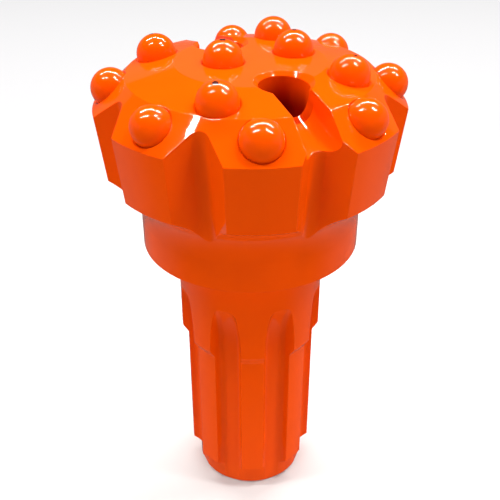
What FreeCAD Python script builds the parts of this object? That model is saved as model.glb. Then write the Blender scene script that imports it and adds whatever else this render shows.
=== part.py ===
import FreeCAD, Part
import math
import os
import Sketcher

# Button bit for a down-the-hole hammer: one forged and machined steel body that stands on the
# struck end of its splined shank, with hemispherical buttons pressed into blind holes of the head.
# Frame: origin at the centre of the struck end, +Z towards the rock face, angles counted about Z
# from -Y towards +X.

doc = FreeCAD.newDocument("button_bit")
sheet = doc.addObject("Spreadsheet::Sheet", "Sizes")
sheet.Label = "Sizes"

SIZES = [
    # shank
    ("strikeRadius", 22.3, "radius of the plain struck end"),
    ("strikeChamfer", 0.8, "edge break of the struck end"),
    ("strikeLength", 8.4, "height of the plain struck end below the splines"),
    ("endTaperLength", 2.9, "height of the lead-in taper of the splines"),
    ("landRadius", 25.7, "radius over the spline lands"),
    ("splineLength", 70.0, "struck end to the foot of the step on the lands"),
    ("stepRise", 3.6, "height of the tapered step between lands and neck"),
    ("stepFillet", 2.4, "radius at the foot and the top of the tapered step"),
    ("neckRadius", 28.0, "radius of the guide neck"),
    ("neckLength", 40.4, "top of the step to the shoulder face"),
    ("seatFillet", 3.0, "fillet between neck and shoulder face"),
    ("shoulderRadius", 40.9, "radius of the shoulder"),
    ("shoulderLength", 29.7, "shoulder face to the lower edge of the head"),
    ("undersideRadius", 20.0, "hollow radius under the head"),
    # head
    ("skirtRadius", 52.2, "radius at the lower edge of the head"),
    ("headRadius", 55.0, "gauge radius, the widest edge of the head"),
    ("skirtLength", 24.2, "lower edge of the head to the gauge edge"),
    ("bevelRadius", 43.4, "radius where the gauge bevel meets the face cone"),
    ("bevelRise", 10.8, "height of the gauge bevel"),
    ("flatRadius", 26.4, "radius of the flat centre of the face"),
    ("coneRise", 3.8, "height of the shallow face cone"),
    # splines
    ("splineCount", 8, "number of splines"),
    ("splineAngle", 2.0, "angle of the first land"),
    ("landWidth", 9.1, "width of a land"),
    ("rootRadius", 21.9, "radius of the spline groove floor"),
    ("rootFillet", 2.8, "corner radius of the spline groove floor"),
    ("runoutStart", 75.0, "struck end to the start of the cutter run-out"),
    ("cutterRadius", 36.5, "radius of the cutter run-out"),
    ("cutterWidth", 10.0, "width of the cutter hub, along its spindle"),
    # flutes on the side of the head
    ("fluteCount", 8, "number of side flutes"),
    ("fluteAngle", 26.5, "angle of the first flute"),
    ("fluteVee", 90.0, "angle between the two walls of a flute"),
    ("fluteFillet", 4.3, "radius of the flute floor"),
    ("fluteTopRadius", 47.6, "radius of the flute floor level with the face"),
    ("fluteSlope", 5.6, "slope of the flute floor from the bit axis"),
    # flushing
    ("boreRadius", 11.0, "radius of the air bore up the shank"),
    ("boreChamfer", 1.5, "chamfer at the mouth of the air bore"),
    ("boreDepth", 111.0, "depth of the air bore to the start of its drill point"),
    ("drillPoint", 118.0, "included angle of the drill point"),
    ("flushCount", 2, "number of flushing holes"),
    ("flushAngle", 28.2, "angle of the first flushing hole"),
    ("flushPlace", 23.6, "distance of a flushing hole from the axis at the face"),
    ("flushTilt", 14.0, "lean of a flushing hole from the axis"),
    ("flushRadius", 8.5, "radius of a flushing hole"),
    ("flushChamfer", 1.9, "chamfer at the mouth of a flushing hole"),
    ("channelAngle", 25.9, "angle of the first face channel"),
    ("channelWidth", 13.1, "width of a face channel"),
    ("channelFillet", 4.3, "corner radius of the channel floor"),
    ("channelSlope", 17.0, "fall of the channel floor towards the rim"),
    ("channelDepth", 10.8, "depth of the channel floor below the flat at the edge of the hole"),
    # buttons
    ("buttonRadius", 7.0, "radius of every button"),
    ("pressFit", 0.0, "radial clearance of a button in its hole"),
    ("mouthChamfer", 0.7, "chamfer at the mouth of a button hole"),
    ("footChamfer", 1.0, "chamfer at the foot of a button"),
    ("gaugeGrip", 12.0, "depth of a gauge button below its dome centre"),
    ("gaugeSink", 0.35, "depth of a gauge dome centre below the bevel"),
    ("gaugePlace", 48.45, "distance of the gauge buttons from the axis at the bevel"),
    ("faceGrip", 13.0, "depth of a face button below its dome centre"),
    ("faceStand", 0.7, "height of a face dome centre above the face"),
    # where the gauge buttons stand, one on each pad
    ("gaugeAngleA", 4.1, "angle of gauge button A"),
    ("gaugeAngleB", 49.5, "angle of gauge button B"),
    ("gaugeAngleC", 92.0, "angle of gauge button C"),
    ("gaugeAngleD", 139.9, "angle of gauge button D"),
    ("gaugeAngleE", 188.6, "angle of gauge button E"),
    ("gaugeAngleF", 226.5, "angle of gauge button F"),
    ("gaugeAngleG", 273.5, "angle of gauge button G"),
    ("gaugeAngleH", 320.7, "angle of gauge button H"),
    # where the face buttons stand, A and B on the flat, C to F on the cone
    ("facePlaceA", 9.4, "distance of face button A from the axis"),
    ("faceAngleA", -80.2, "angle of face button A"),
    ("facePlaceB", 18.0, "distance of face button B from the axis"),
    ("faceAngleB", 122.3, "angle of face button B"),
    ("facePlaceC", 36.5, "distance of face button C from the axis"),
    ("faceAngleC", -15.9, "angle of face button C"),
    ("facePlaceD", 34.7, "distance of face button D from the axis"),
    ("faceAngleD", 70.6, "angle of face button D"),
    ("facePlaceE", 30.6, "distance of face button E from the axis"),
    ("faceAngleE", 163.8, "angle of face button E"),
    ("facePlaceF", 35.1, "distance of face button F from the axis"),
    ("faceAngleF", 251.3, "angle of face button F"),
]
GAUGE = "ABCDEFGH"
# The surface that each face button stands on.
FACE = {"A": "flat", "B": "flat", "C": "cone", "D": "cone", "E": "cone", "F": "cone"}

for row, (alias, value, note) in enumerate(SIZES, 1):
    sheet.set("A%d" % row, alias)
    sheet.set("B%d" % row, "%g" % value)
    sheet.set("C%d" % row, note)
    sheet.setAlias("B%d" % row, alias)
doc.recompute()


def size(alias):
    return "Sizes." + alias


# Heights along the axis, each stacked on the one below.
stepFoot = size("splineLength")
neckFoot = stepFoot + " + " + size("stepRise")
seatHeight = neckFoot + " + " + size("neckLength")
skirtHeight = seatHeight + " + " + size("shoulderLength")
gaugeHeight = skirtHeight + " + " + size("skirtLength")
bevelHeight = gaugeHeight + " + " + size("bevelRise")
faceHeight = bevelHeight + " + " + size("coneRise")
bevelTilt = "atan2(%s; %s - %s)" % (size("bevelRise"), size("headRadius"), size("bevelRadius"))
coneTilt = "atan2(%s; %s - %s)" % (size("coneRise"), size("bevelRadius"), size("flatRadius"))


def origin(body, role):
    return next(item for item in body.Origin.OriginFeatures if item.Role == role)


def new_body(label):
    body = doc.addObject("PartDesign::Body", label)
    body.Label = label
    return body


def new_sketch(body, name, placement=None, role="XY_Plane"):
    """Sketch on an origin plane of the body, moved from it by a placement expression."""
    sketch = body.newObject("Sketcher::SketchObject", name)
    sketch.AttachmentSupport = (origin(body, role), [""])
    sketch.MapMode = "FlatFace"
    if placement:
        sketch.setExpression("AttachmentOffset", placement)
    return sketch


def value_of(expression):
    value = sheet.evalExpression(expression)
    return float(getattr(value, "Value", value))


def hold(sketch, kind, geo, pos, expression):
    """Hold one coordinate of a point, DistanceX or DistanceY, at an expression."""
    if expression == "0":
        axis = -2 if kind == "DistanceX" else -1
        sketch.addConstraint(Sketcher.Constraint("PointOnObject", geo, pos, axis))
        return
    value = value_of(expression)
    ends = (-1, 1, geo, pos) if value > 0 else (geo, pos, -1, 1)
    index = sketch.addConstraint(Sketcher.Constraint(kind, *ends, abs(value)))
    sketch.setExpression("Constraints[%d]" % index, expression if value > 0 else "-(%s)" % expression)


def outline(sketch, corners):
    """Closed outline through corners (x, y); a corner (x, y, radius, turn) is reached by an arc,
    turn being 1 for anticlockwise and -1 for clockwise."""
    spots = []
    for corner in corners:
        x, y = [0.0 if e == "0" else value_of(e) for e in corner[:2]]
        spots.append(FreeCAD.Vector(x, y, 0))
    count = len(corners)
    tails, heads = [], []
    for k in range(count):
        start, end, target = spots[k], spots[(k + 1) % count], corners[(k + 1) % count]
        if len(target) == 2:
            geo = sketch.addGeometry(Part.LineSegment(start, end), False)
            tails.append((geo, 1))
            heads.append((geo, 2))
            continue
        radius, turn = value_of(target[2]), target[3]
        chord = end - start
        rise = math.sqrt(max(radius ** 2 - chord.Length ** 2 / 4, 0.0))
        left = FreeCAD.Vector(-chord.y, chord.x, 0).normalize()
        centre = (start + end) * 0.5 + left * rise * turn
        low, high = (start, end) if turn > 0 else (end, start)
        angles = [math.atan2(p.y - centre.y, p.x - centre.x) for p in (low, high)]
        circle = Part.Circle(centre, FreeCAD.Vector(0, 0, 1), radius)
        geo = sketch.addGeometry(Part.ArcOfCircle(circle, angles[0], angles[1]), False)
        tails.append((geo, 1 if turn > 0 else 2))
        heads.append((geo, 2 if turn > 0 else 1))
        index = sketch.addConstraint(Sketcher.Constraint("Radius", geo, radius))
        sketch.setExpression("Constraints[%d]" % index, target[2])
    for k in range(count):
        sketch.addConstraint(Sketcher.Constraint("Coincident", *heads[k - 1], *tails[k]))
        for kind, expression in zip(("DistanceX", "DistanceY"), corners[k][:2]):
            hold(sketch, kind, tails[k][0], tails[k][1], expression)


def put(place, height, azimuth, lean="0"):
    """Placement at a distance from the axis and a height, local Z leaning outward by lean."""
    return ("placement(vector((%s) * sin(%s); -(%s) * cos(%s); %s); "
            "rotation(vector(cos(%s); sin(%s); 0); %s))"
            % (place, azimuth, place, azimuth, height, azimuth, azimuth, lean))


def upright(placement):
    """Turn a placement so that local Y runs along its Z, for profiles that are revolved."""
    return placement + " * placement(vector(0; 0; 0); rotation(vector(1; 0; 0); 90))"


def outward(placement, azimuth):
    """Turn a placement so that local Y points away from the bit axis."""
    return placement + " * placement(vector(0; 0; 0); rotation(vector(0; 0; 1); %s + 180))" % azimuth


def turn_profile(body, kind, sketch, name, axis="V_Axis", angle=360, reverse=False):
    feature = body.newObject(kind, name)
    feature.Profile = sketch
    feature.ReferenceAxis = (sketch, [axis])
    feature.Angle = angle
    feature.Reversed = reverse
    return feature


def pattern(body, name, originals, count):
    """Repeat features round the bit axis."""
    polar = body.newObject("PartDesign::PolarPattern", name)
    polar.Originals = originals
    polar.Axis = (origin(body, "Z_Axis"), [""])
    polar.Angle = 360
    polar.setExpression("Occurrences", size(count))
    body.Tip = polar
    return polar


# --- steel body: everything that is turned ---
bit = new_body("bit_body")
overhang = "(%s - %s)" % (size("skirtRadius"), size("shoulderRadius"))
hollow = size("undersideRadius")
stepTilt = "atan2(%s - %s; %s)" % (size("neckRadius"), size("landRadius"), size("stepRise"))
ease = "%s * tan(%s / 2)" % (size("stepFillet"), stepTilt)
easeOut, easeUp = "%s * sin(%s)" % (ease, stepTilt), "%s * cos(%s)" % (ease, stepTilt)
undersideDrop = "sqrt(%s ^ 2 - (%s - %s) ^ 2)" % (hollow, hollow, overhang)
turned = new_sketch(bit, "TurnedProfile", role="XZ_Plane")
outline(turned, [
    ("0", "0"),
    (size("strikeRadius") + " - " + size("strikeChamfer"), "0"),
    (size("strikeRadius"), size("strikeChamfer")),
    (size("strikeRadius"), size("strikeLength")),
    (size("landRadius"), size("strikeLength") + " + " + size("endTaperLength")),
    (size("landRadius"), stepFoot + " - " + ease),
    (size("landRadius") + " + " + easeOut, stepFoot + " + " + easeUp, size("stepFillet"), -1),
    (size("neckRadius") + " - " + easeOut, neckFoot + " - " + easeUp),
    (size("neckRadius"), neckFoot + " + " + ease, size("stepFillet"), 1),
    (size("neckRadius"), seatHeight + " - " + size("seatFillet")),
    (size("neckRadius") + " + " + size("seatFillet"), seatHeight, size("seatFillet"), -1),
    (size("shoulderRadius"), seatHeight),
    (size("shoulderRadius"), skirtHeight + " - " + undersideDrop),
    (size("skirtRadius"), skirtHeight, hollow, -1),
    (size("headRadius"), gaugeHeight),
    (size("bevelRadius"), bevelHeight),
    (size("flatRadius"), faceHeight),
    ("0", faceHeight),
])
turn_profile(bit, "PartDesign::Revolution", turned, "Turned")

# --- splines: straight-sided lands, each groove running out where the cutter lifts ---
halfPitch = "(180 / %s)" % size("splineCount")
halfLand = "(%s / 2)" % size("landWidth")
grooveAngle = "%s + %s" % (size("splineAngle"), halfPitch)
rootCut = "(%s * tan((90 - %s) / 2))" % (size("rootFillet"), halfPitch)


def wall_x(height):
    """Half-width of the groove at a distance from the bit axis, between straight-sided lands."""
    return "((%s - %s * sin(%s)) * tan(%s) - %s * cos(%s))" % (
        height, halfLand, halfPitch, halfPitch, halfLand, halfPitch)


root = size("rootRadius")
cutTop = size("shoulderRadius")
rootWallX = "%s + %s * sin(%s)" % (wall_x(root), rootCut, halfPitch)
rootWallY = "%s + %s * cos(%s)" % (root, rootCut, halfPitch)
rootFlatX = "%s - %s" % (wall_x(root), rootCut)
grooveOutline = [
    ("-(%s)" % rootFlatX, root),
    (rootFlatX, root),
    (rootWallX, rootWallY, size("rootFillet"), 1),
    (wall_x(cutTop), cutTop),
    ("-(%s)" % wall_x(cutTop), cutTop),
    ("-(%s)" % rootWallX, rootWallY),
]
# The corner that closes the outline is an arc as well, so the floor comes first in the list.
grooveOutline[0] = grooveOutline[0] + (size("rootFillet"), 1)

straight = new_sketch(bit, "SplineProfile", outward(put("0", "0", grooveAngle), "(%s)" % grooveAngle))
outline(straight, grooveOutline)
splineCut = bit.newObject("PartDesign::Pocket", "SplineGroove")
splineCut.Profile = straight
splineCut.Reversed = True
splineCut.setExpression("Length", size("runoutStart"))

lifting = new_sketch(bit, "RunoutProfile",
                     outward(put("0", size("runoutStart"), grooveAngle), "(%s)" % grooveAngle))
outline(lifting, grooveOutline)
centreLine = size("rootRadius") + " + " + size("cutterRadius")
halfHub = "%s / 2" % size("cutterWidth")
reach, hub = value_of(centreLine), value_of(halfHub)
spindle = lifting.addGeometry(
    Part.LineSegment(FreeCAD.Vector(-hub, reach, 0), FreeCAD.Vector(hub, reach, 0)), True)
for end, side in ((1, "-(%s)" % halfHub), (2, halfHub)):
    hold(lifting, "DistanceX", spindle, end, side)
    hold(lifting, "DistanceY", spindle, end, centreLine)
runout = turn_profile(bit, "PartDesign::Groove", lifting, "SplineRunout", "Axis0", 50, True)
pattern(bit, "Splines", [splineCut, runout], "splineCount")

# --- side flutes: rounded vees that lean in and run out under the head ---
halfVee = "(%s / 2)" % size("fluteVee")
veeX = "%s * cos(%s)" % (size("fluteFillet"), halfVee)
veeY = "(%s - %s * sin(%s))" % (size("fluteFillet"), size("fluteFillet"), halfVee)
veeTop = size("fluteTopRadius")
veeTopX = "%s + (%s - %s) * tan(%s)" % (veeX, veeTop, veeY, halfVee)
fluteLean = size("fluteSlope")
vee = new_sketch(bit, "FluteProfile", outward(
    put(size("fluteTopRadius"), faceHeight, size("fluteAngle"), fluteLean), size("fluteAngle")))
outline(vee, [
    ("-(%s)" % veeX, veeY),
    (veeX, veeY, size("fluteFillet"), 1),
    (veeTopX, veeTop),
    ("-(%s)" % veeTopX, veeTop),
])
flute = bit.newObject("PartDesign::Pocket", "SideFlute")
flute.Profile = vee
flute.setExpression("Length", "(%s + %s + %s + %s) / cos(%s)" % (
    size("coneRise"), size("bevelRise"), size("skirtLength"), undersideDrop, fluteLean))
pattern(bit, "SideFlutes", [flute], "fluteCount")

# --- air: one bore up the shank, splitting into flushing holes that open on the face ---
bore = new_sketch(bit, "BoreProfile", role="XZ_Plane")
outline(bore, [
    ("0", "0"),
    (size("boreRadius") + " + " + size("boreChamfer"), "0"),
    (size("boreRadius"), size("boreChamfer")),
    (size("boreRadius"), size("boreDepth")),
    ("0", "%s + %s / tan(%s / 2)" % (size("boreDepth"), size("boreRadius"), size("drillPoint"))),
])
turn_profile(bit, "PartDesign::Groove", bore, "AirBore")

flushPlace = put(size("flushPlace"), faceHeight, size("flushAngle"), size("flushTilt"))
flushDepth = "-((%s - %s + %s) / cos(%s))" % (
    faceHeight, size("boreDepth"), size("boreRadius"), size("flushTilt"))
drilled = new_sketch(bit, "FlushProfile", upright(flushPlace))
outline(drilled, [
    ("0", flushDepth),
    (size("flushRadius"), flushDepth),
    (size("flushRadius"), size("flushRadius")),
    ("0", size("flushRadius")),
])
flushHole = turn_profile(bit, "PartDesign::Groove", drilled, "FlushingHole")
sunk = new_sketch(bit, "FlushChamferProfile",
                  upright(put(size("flushPlace"), faceHeight, size("flushAngle"))))
outline(sunk, [
    ("0", "-" + size("flushChamfer")),
    (size("flushRadius"), "-" + size("flushChamfer")),
    (size("flushRadius") + " + " + size("flushChamfer"), "0"),
    ("0", "0"),
])
flushMouth = turn_profile(bit, "PartDesign::Groove", sunk, "FlushingMouth")

# Channel from the hole across the face, falling to the side flute.
half = "(%s / 2)" % size("channelWidth")
corner = size("channelFillet")
channelTop = "(%s + %s)" % (size("channelDepth"), size("flushRadius"))
channelStart = "%s - %s + %s * tan(%s)" % (
    faceHeight, size("channelDepth"), size("flushRadius"), size("channelSlope"))
trough = new_sketch(bit, "ChannelProfile", outward(
    put(size("flushPlace"), channelStart, size("channelAngle"), "%s - 90" % size("channelSlope")),
    size("channelAngle")))
outline(trough, [
    ("-(%s - %s)" % (half, corner), "0", corner, 1),
    ("%s - %s" % (half, corner), "0"),
    (half, corner, corner, 1),
    (half, channelTop),
    ("-" + half, channelTop),
    ("-" + half, corner),
])
channel = bit.newObject("PartDesign::Pocket", "FaceChannel")
channel.Profile = trough
channel.Type = "ThroughAll"
pattern(bit, "Flushing", [flushHole, flushMouth, channel], "flushCount")


# --- buttons, and the blind holes that they are pressed into ---
def fit_button(label, place, height, azimuth, lean, grip, stand):
    """Drill the blind hole for a button, then make the button that fills it."""
    seat = put("(%s) + (%s) * sin(%s)" % (place, stand, lean),
               "%s + (%s) * cos(%s)" % (height, stand, lean), azimuth, lean)
    holeRadius = "%s + %s" % (size("buttonRadius"), size("pressFit"))
    mouth = "-(%s)" % stand
    rim = size("mouthChamfer")
    hole = new_sketch(bit, label + "_hole_profile", upright(seat))
    outline(hole, [
        ("0", "-" + grip),
        (holeRadius, "-" + grip),
        (holeRadius, "%s - %s" % (mouth, rim)),
        ("%s + %s + %s" % (holeRadius, rim, rim), "%s + %s" % (mouth, rim)),
        ("0", "%s + %s" % (mouth, rim)),
    ])
    turn_profile(bit, "PartDesign::Groove", hole, label + "_hole")

    body = new_body(label)
    section = new_sketch(body, label + "_profile", role="XZ_Plane")
    ball, foot = size("buttonRadius"), size("footChamfer")
    outline(section, [
        ("0", "-" + grip),
        ("%s - %s" % (ball, foot), "-" + grip),
        (ball, "%s - %s" % (foot, grip)),
        (ball, "0"),
        ("0", ball, ball, 1),
    ])
    turn_profile(body, "PartDesign::Revolution", section, label + "_turned")
    body.setExpression("Placement", seat)
    return body


nodes = [bit]
for number, letter in enumerate(GAUGE, 1):
    nodes.append(fit_button(
        "gauge_button_%d" % number, size("gaugePlace"),
        "%s + (%s - %s) * tan(%s)" % (gaugeHeight, size("headRadius"), size("gaugePlace"), bevelTilt),
        size("gaugeAngle" + letter), bevelTilt, size("gaugeGrip"),
        "-" + size("gaugeSink")))
for number, (letter, surface) in enumerate(FACE.items(), 1):
    place, azimuth = size("facePlace" + letter), size("faceAngle" + letter)
    height, lean = faceHeight, "0"
    if surface == "cone":
        height = "%s - (%s - %s) * tan(%s)" % (faceHeight, place, size("flatRadius"), coneTilt)
        lean = coneTilt
    nodes.append(fit_button("face_button_%d" % number, place, height, azimuth, lean,
                            size("faceGrip"), size("faceStand")))

doc.recompute()

# Every feature has to be sound, and every cut has to take something away.
faults = [item.Name for item in doc.Objects if "Invalid" in item.State or "Error" in item.State]
for node in nodes:
    if node.Shape.isNull() or not node.Shape.isValid() or len(node.Shape.Solids) != 1:
        faults.append(node.Label)
solidFeatures = [f for f in bit.Group if f.isDerivedFrom("PartDesign::Feature")]
volumes = [f.Shape.Volume for f in solidFeatures]
for feature, before, after in zip(solidFeatures[1:], volumes, volumes[1:]):
    if not after < before and feature.TypeId != "PartDesign::PolarPattern":
        faults.append(feature.Name + " cuts nothing")
if faults:
    raise RuntimeError("faults: " + ", ".join(faults))

os.makedirs("parts", exist_ok=True)
for node in nodes:
    node.Shape.exportStep(os.path.join("parts", node.Label + ".step"))
    box = node.Shape.BoundBox
    print("%-16s volume %10.1f  z %.2f to %.2f" % (node.Label, node.Shape.Volume, box.ZMin, box.ZMax))
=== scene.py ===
import math

import bpy
import numpy as np
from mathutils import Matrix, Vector


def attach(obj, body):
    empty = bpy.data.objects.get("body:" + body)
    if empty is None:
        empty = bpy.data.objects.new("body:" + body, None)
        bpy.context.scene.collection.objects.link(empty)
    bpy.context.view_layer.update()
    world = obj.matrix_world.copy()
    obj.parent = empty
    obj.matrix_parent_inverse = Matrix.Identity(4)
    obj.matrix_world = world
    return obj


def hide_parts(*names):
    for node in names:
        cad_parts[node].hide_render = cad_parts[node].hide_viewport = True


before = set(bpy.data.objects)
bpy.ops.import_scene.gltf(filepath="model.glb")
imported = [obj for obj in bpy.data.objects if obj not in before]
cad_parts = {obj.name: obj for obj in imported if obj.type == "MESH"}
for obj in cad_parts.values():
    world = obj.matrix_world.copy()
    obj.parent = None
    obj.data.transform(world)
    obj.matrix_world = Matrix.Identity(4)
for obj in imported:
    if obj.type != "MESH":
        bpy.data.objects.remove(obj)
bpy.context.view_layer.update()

# Button bit for a down-the-hole hammer, sprayed with glossy orange enamel. Metres, +Z towards the
# rock face, -Y towards the front pad. The steel body is the frame's own solid; the buttons are
# turned again here with a smooth dome and a rubbed tip.

scene = bpy.context.scene
millimetre = 0.001


def linearColour(hexColour):
    # sRGB hex value to a linear colour
    channels = [int(hexColour[i:i + 2], 16) / 255 for i in (1, 3, 5)]
    return tuple(c / 12.92 if c <= 0.04045 else ((c + 0.055) / 1.055) ** 2.4
                 for c in channels) + (1.0,)


def addNode(tree, kind, settings=None, inputs=None, links=None):
    # settings are its properties, inputs its socket values, links the sockets fed to it
    node = tree.nodes.new(kind)
    for name, value in (settings or {}).items():
        setattr(node, name, value)
    for key, value in (inputs or {}).items():
        node.inputs[key].default_value = value
    for key, socket in (links or {}).items():
        tree.links.new(socket, node.inputs[key])
    return node


# Camera
cameraSizes = {
    "place": (0.0, -0.266311, 0.270678),
    "pitch": math.radians(58.281),
    "sensor": 36.0,
    "lens": 57.35,
    "shiftX": -0.00056,
    "clipStart": 0.01,
}
cameraData = bpy.data.cameras.new("camera")
cameraData.sensor_width = cameraSizes["sensor"]
cameraData.lens = cameraSizes["lens"]
cameraData.shift_x = cameraSizes["shiftX"]
cameraData.clip_start = cameraSizes["clipStart"]
camera = bpy.data.objects.new("camera", cameraData)
camera.location = cameraSizes["place"]
camera.rotation_euler = (cameraSizes["pitch"], 0.0, 0.0)
scene.collection.objects.link(camera)
scene.camera = camera
scene.view_settings.view_transform = "Standard"
print("camera placed")

# A pale tent, open towards the camera: two rows of tubes shine through its roof, and its walls and
# two panels beside the opening fill in.
lampSizes = {
    "rearTube": {"middle": (0.02, 0.57, 1.17), "size": (1.9, 0.035), "power": 31.0},
    "leftTube": {"middle": (-0.52, -0.20, 1.17), "size": (0.68, 0.028), "power": 9.5},
    "rightTube": {"middle": (0.78, -0.22, 1.17), "size": (0.46, 0.028), "power": 6.7},
    "middleLamp": {"middle": (0.42, -0.09, 1.17), "size": (0.13, 0.10), "power": 6.7},
    "leftPanel": {"middle": (-0.8, -0.65, 0.3), "size": (0.8, 0.6), "power": 3.4,
                  "panel": True},
    "rightPanel": {"middle": (0.8, -0.65, 0.3), "size": (0.8, 0.6), "power": 3.8,
                   "panel": True},
}
lampTarget = Vector((0, 0, 0.15))


def addLamp(name, sizes):
    data = bpy.data.lights.new(name, "AREA")
    data.shape = "RECTANGLE"
    data.size, data.size_y = sizes["size"]
    data.energy = sizes["power"]
    lamp = bpy.data.objects.new(name, data)
    lamp.location = sizes["middle"]
    if sizes.get("panel"):
        aim = lampTarget - lamp.location
        lamp.rotation_euler = aim.to_track_quat("-Z", "Y").to_euler()
        lamp.visible_glossy = False      # soft fill alone, too dim to show in the enamel
    else:
        # tubes run across the tent, so they only lean towards the bit about X
        lean = math.atan2(lampTarget.y - lamp.location.y, lamp.location.z - lampTarget.z)
        lamp.rotation_euler = (lean, 0, 0)
    scene.collection.objects.link(lamp)


for lampName, sizes in lampSizes.items():
    addLamp(lampName, sizes)

worldSizes = {
    "colour": "#F4F2F0",
    "front": 0.30,           # strength of the open side
    "wall": 0.72,            # strength of the side and rear walls
    "roof": 0.20,
    "mirroredFront": 0.01,   # the same as the enamel mirrors them
    "mirroredWall": 0.15,
    "mirroredRoof": 0.01,
    "wallTop": 0.362,        # sine of the height angle where the walls end
    "wallFade": 0.012,       # the same, half the width of that edge
    "openTo": -0.75,         # Y of the direction where the open side ends
    "wallFrom": -0.25,       # and where the walls are full
}
world = bpy.data.worlds.new("paleTent")
scene.world = world
world.use_nodes = True
tree = world.node_tree
tree.nodes.clear()
rays = addNode(tree, "ShaderNodeLightPath")
direction = addNode(tree, "ShaderNodeTexCoord")
axes = addNode(tree, "ShaderNodeSeparateXYZ", links={0: direction.outputs["Generated"]})
beside = addNode(tree, "ShaderNodeMapRange", {"interpolation_type": "SMOOTHSTEP"},
                 {"From Min": worldSizes["openTo"], "From Max": worldSizes["wallFrom"]},
                 {"Value": axes.outputs["Y"]})
high = addNode(tree, "ShaderNodeMapRange", {"interpolation_type": "SMOOTHSTEP"},
               {"From Min": worldSizes["wallTop"] - worldSizes["wallFade"],
                "From Max": worldSizes["wallTop"] + worldSizes["wallFade"]},
               {"Value": axes.outputs["Z"]})
mirrored = addNode(tree, "ShaderNodeMath", {"operation": "MAXIMUM"},
                   links={0: rays.outputs["Is Glossy Ray"],
                          1: rays.outputs["Is Transmission Ray"]})
levels = []
for kind in ("front", "wall", "roof"):
    levels.append(addNode(tree, "ShaderNodeMix", {"data_type": "FLOAT"},
                          {"A": worldSizes[kind], "B": worldSizes["mirrored" + kind.title()]},
                          {"Factor": mirrored.outputs[0]}).outputs["Result"])
roundLevel = addNode(tree, "ShaderNodeMix", {"data_type": "FLOAT"},
                     links={"Factor": beside.outputs[0], "A": levels[0], "B": levels[1]})
level = addNode(tree, "ShaderNodeMix", {"data_type": "FLOAT"},
                links={"Factor": high.outputs[0], "A": roundLevel.outputs["Result"],
                       "B": levels[2]})
tent = addNode(tree, "ShaderNodeBackground", inputs={"Color": linearColour(worldSizes["colour"])},
               links={"Strength": level.outputs["Result"]})
backdrop = addNode(tree, "ShaderNodeBackground", inputs={"Color": (1, 1, 1, 1), "Strength": 1.0})
shown = addNode(tree, "ShaderNodeMixShader",
                links={0: rays.outputs["Is Camera Ray"], 1: tent.outputs[0],
                       2: backdrop.outputs[0]})
addNode(tree, "ShaderNodeOutputWorld", links={0: shown.outputs[0]})
print("lamps and world set")

# Matt paper sweep: white and without a shine; close to the bit its colour is a little warmer, a
# painted glow of orange light bounced off the enamel
floorSizes = {
    "half": 3.0,
    # nearColour is a little warmer than farColour: painted orange bounce light close to the bit
    "nearColour": "#C2C0BE",
    "farColour": "#7C7B7C",
    "nearLift": 0.06,        # added for the camera alone, so that the paper reads white
    "farLift": 0.50,
    "near": 0.06,            # m from the bit
    "far": 0.45,
    "mirroredFront": 0.03,   # strength in the enamel before the bit, and beside and behind it
    "mirroredBack": 0.20,
    "frontEdge": -0.12,      # m along Y, where the first of them ends
    "backEdge": 0.04,        # and the second is full
}
floorMesh = bpy.data.meshes.new("floor")
half = floorSizes["half"]
floorMesh.from_pydata([(-half, -half, 0), (half, -half, 0), (half, half, 0), (-half, half, 0)],
                      [], [(0, 1, 2, 3)])
floor = bpy.data.objects.new("floor", floorMesh)
scene.collection.objects.link(floor)
paper = bpy.data.materials.new("mattPaperSweep")
paper.use_nodes = True
tree = paper.node_tree
tree.nodes.clear()
rays = addNode(tree, "ShaderNodeLightPath")
place = addNode(tree, "ShaderNodeTexCoord")
away = addNode(tree, "ShaderNodeVectorMath", {"operation": "LENGTH"},
               links={0: place.outputs["Object"]})
reach = addNode(tree, "ShaderNodeMapRange", {"interpolation_type": "SMOOTHSTEP"},
                {"From Min": floorSizes["near"], "From Max": floorSizes["far"]},
                {"Value": away.outputs["Value"]})
tone = addNode(tree, "ShaderNodeMix", {"data_type": "RGBA"},
               {"A": linearColour(floorSizes["nearColour"]),
                "B": linearColour(floorSizes["farColour"])}, {"Factor": reach.outputs[0]})
matt = addNode(tree, "ShaderNodeBsdfDiffuse", links={"Color": tone.outputs["Result"]})
lift = addNode(tree, "ShaderNodeMix", {"data_type": "FLOAT"},
               {"A": floorSizes["nearLift"], "B": floorSizes["farLift"]},
               {"Factor": reach.outputs[0]})
glow = addNode(tree, "ShaderNodeEmission", links={"Strength": lift.outputs["Result"]})
clear = addNode(tree, "ShaderNodeAddShader", links={0: matt.outputs[0], 1: glow.outputs[0]})
spot = addNode(tree, "ShaderNodeSeparateXYZ", links={0: place.outputs["Object"]})
back = addNode(tree, "ShaderNodeMapRange", {"interpolation_type": "SMOOTHSTEP"},
               {"From Min": floorSizes["frontEdge"], "From Max": floorSizes["backEdge"],
                "To Min": floorSizes["mirroredFront"], "To Max": floorSizes["mirroredBack"]},
               {"Value": spot.outputs["Y"]})
dim = addNode(tree, "ShaderNodeEmission", links={"Strength": back.outputs[0]})
seen = addNode(tree, "ShaderNodeMixShader",
               links={0: rays.outputs["Is Glossy Ray"], 1: matt.outputs[0], 2: dim.outputs[0]})
paperMix = addNode(tree, "ShaderNodeMixShader",
                   links={0: rays.outputs["Is Camera Ray"], 1: seen.outputs[0],
                          2: clear.outputs[0]})
addNode(tree, "ShaderNodeOutputMaterial", links={0: paperMix.outputs[0]})
floorMesh.materials.append(paper)
print("floor laid")

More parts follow.
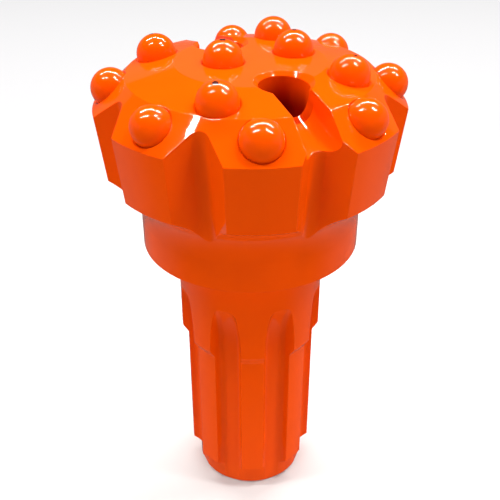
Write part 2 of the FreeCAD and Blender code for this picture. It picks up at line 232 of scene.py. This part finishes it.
# Sprayed alkyd enamel, thick and glossy: it mirrors the tubes sharply and rounds every edge
enamelSizes = {
    "colour": "#E84D01",
    "deepColour": "#E64901",
    "driftGrain": 14.0,      # mm, slow drift between the two colours
    "roughness": 0.035,
    "ior": 1.5,
    "edgeRadius": 0.35,      # mm, paint rounds every machined edge
    "peelGrain": 1.6,        # mm, orange peel of the sprayed coat
    "peelHeight": 0.003,     # mm
    "holeShadeColour": "#941000", # painted shade, darker inside the flushing holes
    "holeReach": 33.0,       # mm from the axis
    "holeTop": 179.0,        # mm, heights between which the painted shade sets in
    "holeDeep": 169.0,
    "holeFoot": 120.0,       # mm, below it there is no painted shade
}
# the tips of the face buttons are rubbed down to carbide, dark and still polished
tipFinish = {
    "colour": "#4A2218",
    "edgeGrain": 0.9,        # mm, ragged edge of the bare spot
    "edgeSpread": 1.1,       # mm
    "edgeShift": -0.55,
    "softness": 0.12,
}


def enamelMaterial(name, sizes, crown=False):
    # crown adds the rubbed tips, which read the buttons' own attributes
    material = bpy.data.materials.new(name)
    material.use_nodes = True
    tree = material.node_tree
    tree.nodes.clear()
    place = addNode(tree, "ShaderNodeTexCoord")
    drift = addNode(tree, "ShaderNodeTexNoise",
                    inputs={"Scale": 1 / (sizes["driftGrain"] * millimetre), "Detail": 2.0},
                    links={"Vector": place.outputs["Object"]})
    colour = addNode(tree, "ShaderNodeMix", {"data_type": "RGBA"},
                     {"A": linearColour(sizes["colour"]),
                      "B": linearColour(sizes["deepColour"])}, {"Factor": drift.outputs[0]})
    spot = addNode(tree, "ShaderNodeSeparateXYZ", links={0: place.outputs["Object"]})
    level = addNode(tree, "ShaderNodeVectorMath", {"operation": "MULTIPLY"}, {1: (1, 1, 0)},
                    {0: place.outputs["Object"]})
    out = addNode(tree, "ShaderNodeVectorMath", {"operation": "LENGTH"},
                  links={0: level.outputs[0]})
    # painted shade: within holeReach of the axis, below holeTop and above holeFoot, where the
    # flushing holes lie, the enamel is darker
    near = addNode(tree, "ShaderNodeMath", {"operation": "LESS_THAN"},
                   {1: sizes["holeReach"] * millimetre}, {0: out.outputs["Value"]})
    deep = addNode(tree, "ShaderNodeMapRange", {"interpolation_type": "SMOOTHSTEP"},
                   {"From Min": sizes["holeTop"] * millimetre,
                    "From Max": sizes["holeDeep"] * millimetre}, {"Value": spot.outputs["Z"]})
    shadedDepth = addNode(tree, "ShaderNodeMath", {"operation": "MULTIPLY"},
                   links={0: near.outputs[0], 1: deep.outputs[0]})
    above = addNode(tree, "ShaderNodeMath", {"operation": "GREATER_THAN"},
                    {1: sizes["holeFoot"] * millimetre}, {0: spot.outputs["Z"]})
    paintedHoleShade = addNode(tree, "ShaderNodeMath", {"operation": "MULTIPLY"},
                     links={0: shadedDepth.outputs[0], 1: above.outputs[0]})
    # mixes the painted shade of the flushing holes into the enamel colour
    colour = addNode(tree, "ShaderNodeMix", {"data_type": "RGBA"},
                     {"B": linearColour(sizes["holeShadeColour"])},
                     {"Factor": paintedHoleShade.outputs[0], "A": colour.outputs["Result"]})
    peel = addNode(tree, "ShaderNodeTexNoise",
                   inputs={"Scale": 1 / (sizes["peelGrain"] * millimetre), "Detail": 1.0},
                   links={"Vector": place.outputs["Object"]})
    softEdge = addNode(tree, "ShaderNodeBevel", {"samples": 8},
                       {"Radius": sizes["edgeRadius"] * millimetre})
    skin = addNode(tree, "ShaderNodeBump",
                   inputs={"Strength": 1.0, "Distance": sizes["peelHeight"] * millimetre},
                   links={"Height": peel.outputs[0], "Normal": softEdge.outputs[0]})
    paint = addNode(tree, "ShaderNodeBsdfPrincipled",
                    inputs={"Roughness": sizes["roughness"], "IOR": sizes["ior"]},
                    links={"Normal": skin.outputs[0]})
    if crown:
        reach = addNode(tree, "ShaderNodeAttribute", {"attribute_name": "crown"})
        bare = addNode(tree, "ShaderNodeAttribute", {"attribute_name": "bare"})
        ragged = addNode(tree, "ShaderNodeTexNoise",
                         inputs={"Scale": 1 / (tipFinish["edgeGrain"] * millimetre)},
                         links={"Vector": place.outputs["Object"]})
        edge = addNode(tree, "ShaderNodeMath", {"operation": "MULTIPLY_ADD"},
                       {1: tipFinish["edgeSpread"], 2: tipFinish["edgeShift"]},
                       {0: ragged.outputs[0]})
        spread = addNode(tree, "ShaderNodeMath", {"operation": "ADD"},
                         links={0: reach.outputs["Fac"], 1: edge.outputs[0]})
        limit = addNode(tree, "ShaderNodeMath", {"operation": "SUBTRACT"},
                        links={0: bare.outputs["Fac"], 1: spread.outputs[0]})
        rubbed = addNode(tree, "ShaderNodeMapRange",
                         inputs={"From Min": -tipFinish["softness"],
                                 "From Max": tipFinish["softness"]},
                         links={"Value": limit.outputs[0]})
        colour = addNode(tree, "ShaderNodeMix", {"data_type": "RGBA"},
                         {"B": linearColour(tipFinish["colour"])},
                         {"Factor": rubbed.outputs[0], "A": colour.outputs["Result"]})
    tree.links.new(colour.outputs["Result"], paint.inputs["Base Color"])
    addNode(tree, "ShaderNodeOutputMaterial", links={0: paint.outputs[0]})
    return material


bodyEnamel = enamelMaterial("sprayedEnamelOnSteel", enamelSizes)
buttonEnamel = enamelMaterial("sprayedEnamelOnCarbide", enamelSizes, crown=True)
print("enamel mixed")

# The steel body keeps the frame's own solid
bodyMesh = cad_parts["bit_body"].data
bodyMesh.materials.clear()
bodyMesh.materials.append(bodyEnamel)
print("body painted")

# Carbide buttons, pressed into the gauge row and the face
buttonSizes = {
    "radius": 7.0,       # mm
    "segments": 64,
    "tipMin": 0.7,       # mm, radius of the rubbed tip on the face buttons
    "tipMax": 1.15,
    "seed": 4,
    "weld": 0.01,        # mm, points closer than this are one
}


def buttonSeat(node):
    # dome centre, axis and full length of a button in the frame, read from its flat foot
    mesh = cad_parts[node].data
    mesh.calc_loop_triangles()
    area = {}
    for triangle in mesh.loop_triangles:
        key = tuple(round(c, 3) for c in triangle.normal)
        total, middle = area.get(key, (0.0, Vector()))
        area[key] = (total + triangle.area, middle + triangle.area * Vector(triangle.center))
    normal, (total, middle) = max(area.items(), key=lambda item: item[1][0])
    axis = -Vector(normal).normalized()
    foot = middle / total
    reach = max((vertex.co - foot).dot(axis) for vertex in mesh.vertices)
    domeCentre = foot + axis * (reach - buttonSizes["radius"] * millimetre)
    return domeCentre, axis, reach


buttonNodes = sorted(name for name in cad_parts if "button" in name)
seats = {name: buttonSeat(name) for name in buttonNodes}


def buttonTree():
    # turns one button and sets a copy of it on every seat
    weld = buttonSizes["weld"] * millimetre
    tree = bpy.data.node_groups.new("pressedButtons", "GeometryNodeTree")
    sockets = tree.interface
    sockets.new_socket("Geometry", in_out="OUTPUT", socket_type="NodeSocketGeometry")
    sockets.new_socket("Seats", in_out="INPUT", socket_type="NodeSocketGeometry")
    sockets.new_socket("Dome radius", in_out="INPUT", socket_type="NodeSocketFloat")
    sockets.new_socket("Grip", in_out="INPUT", socket_type="NodeSocketFloat")
    sockets.new_socket("Segments", in_out="INPUT", socket_type="NodeSocketInt")
    sockets.new_socket("Enamel", in_out="INPUT", socket_type="NodeSocketMaterial")
    given = addNode(tree, "NodeGroupInput")
    rings = addNode(tree, "ShaderNodeMath", {"operation": "DIVIDE"}, {1: 2.0},
                    {0: given.outputs["Segments"]})
    ball = addNode(tree, "GeometryNodeMeshUVSphere",
                   links={"Segments": given.outputs["Segments"], "Rings": rings.outputs[0],
                          "Radius": given.outputs["Dome radius"]})
    here = addNode(tree, "GeometryNodeInputPosition")
    axes = addNode(tree, "ShaderNodeSeparateXYZ", links={0: here.outputs[0]})
    below = addNode(tree, "FunctionNodeCompare", {"data_type": "FLOAT", "operation": "LESS_THAN"},
                    {"B": -weld}, {"A": axes.outputs["Z"]})
    dome = addNode(tree, "GeometryNodeDeleteGeometry", {"domain": "POINT"},
                   links={"Geometry": ball.outputs["Mesh"], "Selection": below.outputs[0]})
    stem = addNode(tree, "GeometryNodeMeshCylinder", {"fill_type": "NGON"},
                   links={"Vertices": given.outputs["Segments"],
                          "Radius": given.outputs["Dome radius"],
                          "Depth": given.outputs["Grip"]})
    drop = addNode(tree, "ShaderNodeMath", {"operation": "MULTIPLY"}, {1: -0.5},
                   {0: given.outputs["Grip"]})
    dropBy = addNode(tree, "ShaderNodeCombineXYZ", links={"Z": drop.outputs[0]})
    lowered = addNode(tree, "GeometryNodeTransform",
                      links={"Geometry": stem.outputs["Mesh"], "Translation": dropBy.outputs[0]})
    openStem = addNode(tree, "GeometryNodeDeleteGeometry", {"domain": "FACE", "mode": "ONLY_FACE"},
                       links={"Geometry": lowered.outputs[0], "Selection": stem.outputs["Top"]})
    both = addNode(tree, "GeometryNodeJoinGeometry")
    tree.links.new(dome.outputs[0], both.inputs[0])
    tree.links.new(openStem.outputs[0], both.inputs[0])
    closed = addNode(tree, "GeometryNodeMergeByDistance", inputs={"Distance": weld},
                     links={"Geometry": both.outputs[0]})
    # "crown" is each point's distance from the button's axis in mm, for the rubbed tips
    flat = addNode(tree, "ShaderNodeVectorMath", {"operation": "MULTIPLY"},
                   {1: (1 / millimetre, 1 / millimetre, 0)}, {0: here.outputs[0]})
    spread = addNode(tree, "ShaderNodeVectorMath", {"operation": "LENGTH"},
                     links={0: flat.outputs[0]})
    crowned = addNode(tree, "GeometryNodeStoreNamedAttribute",
                      {"data_type": "FLOAT", "domain": "POINT"}, {"Name": "crown"},
                      {"Geometry": closed.outputs[0], "Value": spread.outputs["Value"]})
    seatAxis = addNode(tree, "GeometryNodeInputNamedAttribute", {"data_type": "FLOAT_VECTOR"},
                       {"Name": "seatAxis"})
    turn = addNode(tree, "FunctionNodeAlignRotationToVector", {"axis": "Z"},
                   links={"Vector": seatAxis.outputs["Attribute"]})
    placed = addNode(tree, "GeometryNodeInstanceOnPoints",
                     links={"Points": given.outputs["Seats"], "Instance": crowned.outputs[0],
                            "Rotation": turn.outputs[0]})
    real = addNode(tree, "GeometryNodeRealizeInstances", links={0: placed.outputs[0]})
    smooth = addNode(tree, "GeometryNodeSetShadeSmooth", links={"Geometry": real.outputs[0]})
    finished = addNode(tree, "GeometryNodeSetMaterial",
                       links={"Geometry": smooth.outputs[0], "Material": given.outputs["Enamel"]})
    addNode(tree, "NodeGroupOutput", links={0: finished.outputs[0]})
    return tree


def socketName(tree, label):
    return next(item.identifier for item in tree.interface.items_tree
                if item.name == label and item.in_out == "INPUT")


def applyTree(name, mesh, tree, values):
    # runs a geometry tree on a mesh and keeps the result as a plain mesh object
    holder = bpy.data.objects.new(name + "Seats", mesh)
    modifier = holder.modifiers.new("shape", "NODES")
    modifier.node_group = tree
    for label, value in values.items():
        modifier[socketName(tree, label)] = value
    scene.collection.objects.link(holder)
    bpy.context.view_layer.update()
    evaluated = holder.evaluated_get(bpy.context.evaluated_depsgraph_get())
    result = bpy.data.meshes.new_from_object(evaluated)
    bpy.data.objects.remove(holder)
    piece = bpy.data.objects.new(name, result)
    scene.collection.objects.link(piece)
    return piece


def seatMesh(names, bareSizes):
    # one point for each seat, with its axis and the radius of its rubbed tip
    mesh = bpy.data.meshes.new("buttonSeats")
    mesh.from_pydata([seats[name][0] for name in names], [], [])
    axes = mesh.attributes.new("seatAxis", "FLOAT_VECTOR", "POINT")
    axes.data.foreach_set("vector", [c for name in names for c in seats[name][1]])
    bare = mesh.attributes.new("bare", "FLOAT", "POINT")
    bare.data.foreach_set("value", bareSizes)
    return mesh


randomSizes = np.random.default_rng(buttonSizes["seed"])
pressed = buttonTree()
for kind in ("gauge", "face"):
    names = [name for name in buttonNodes if name.startswith(kind)]
    tips = [0.0] * len(names)
    if kind == "face":
        tips = list(randomSizes.uniform(buttonSizes["tipMin"], buttonSizes["tipMax"], len(names)))
    grip = seats[names[0]][2] - buttonSizes["radius"] * millimetre
    piece = applyTree(kind + "Buttons", seatMesh(names, tips), pressed, {
        "Dome radius": buttonSizes["radius"] * millimetre, "Grip": grip,
        "Segments": buttonSizes["segments"], "Enamel": buttonEnamel})
    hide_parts(*names)
    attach(piece, "root")
    print(piece.name, len(piece.data.vertices), "points")
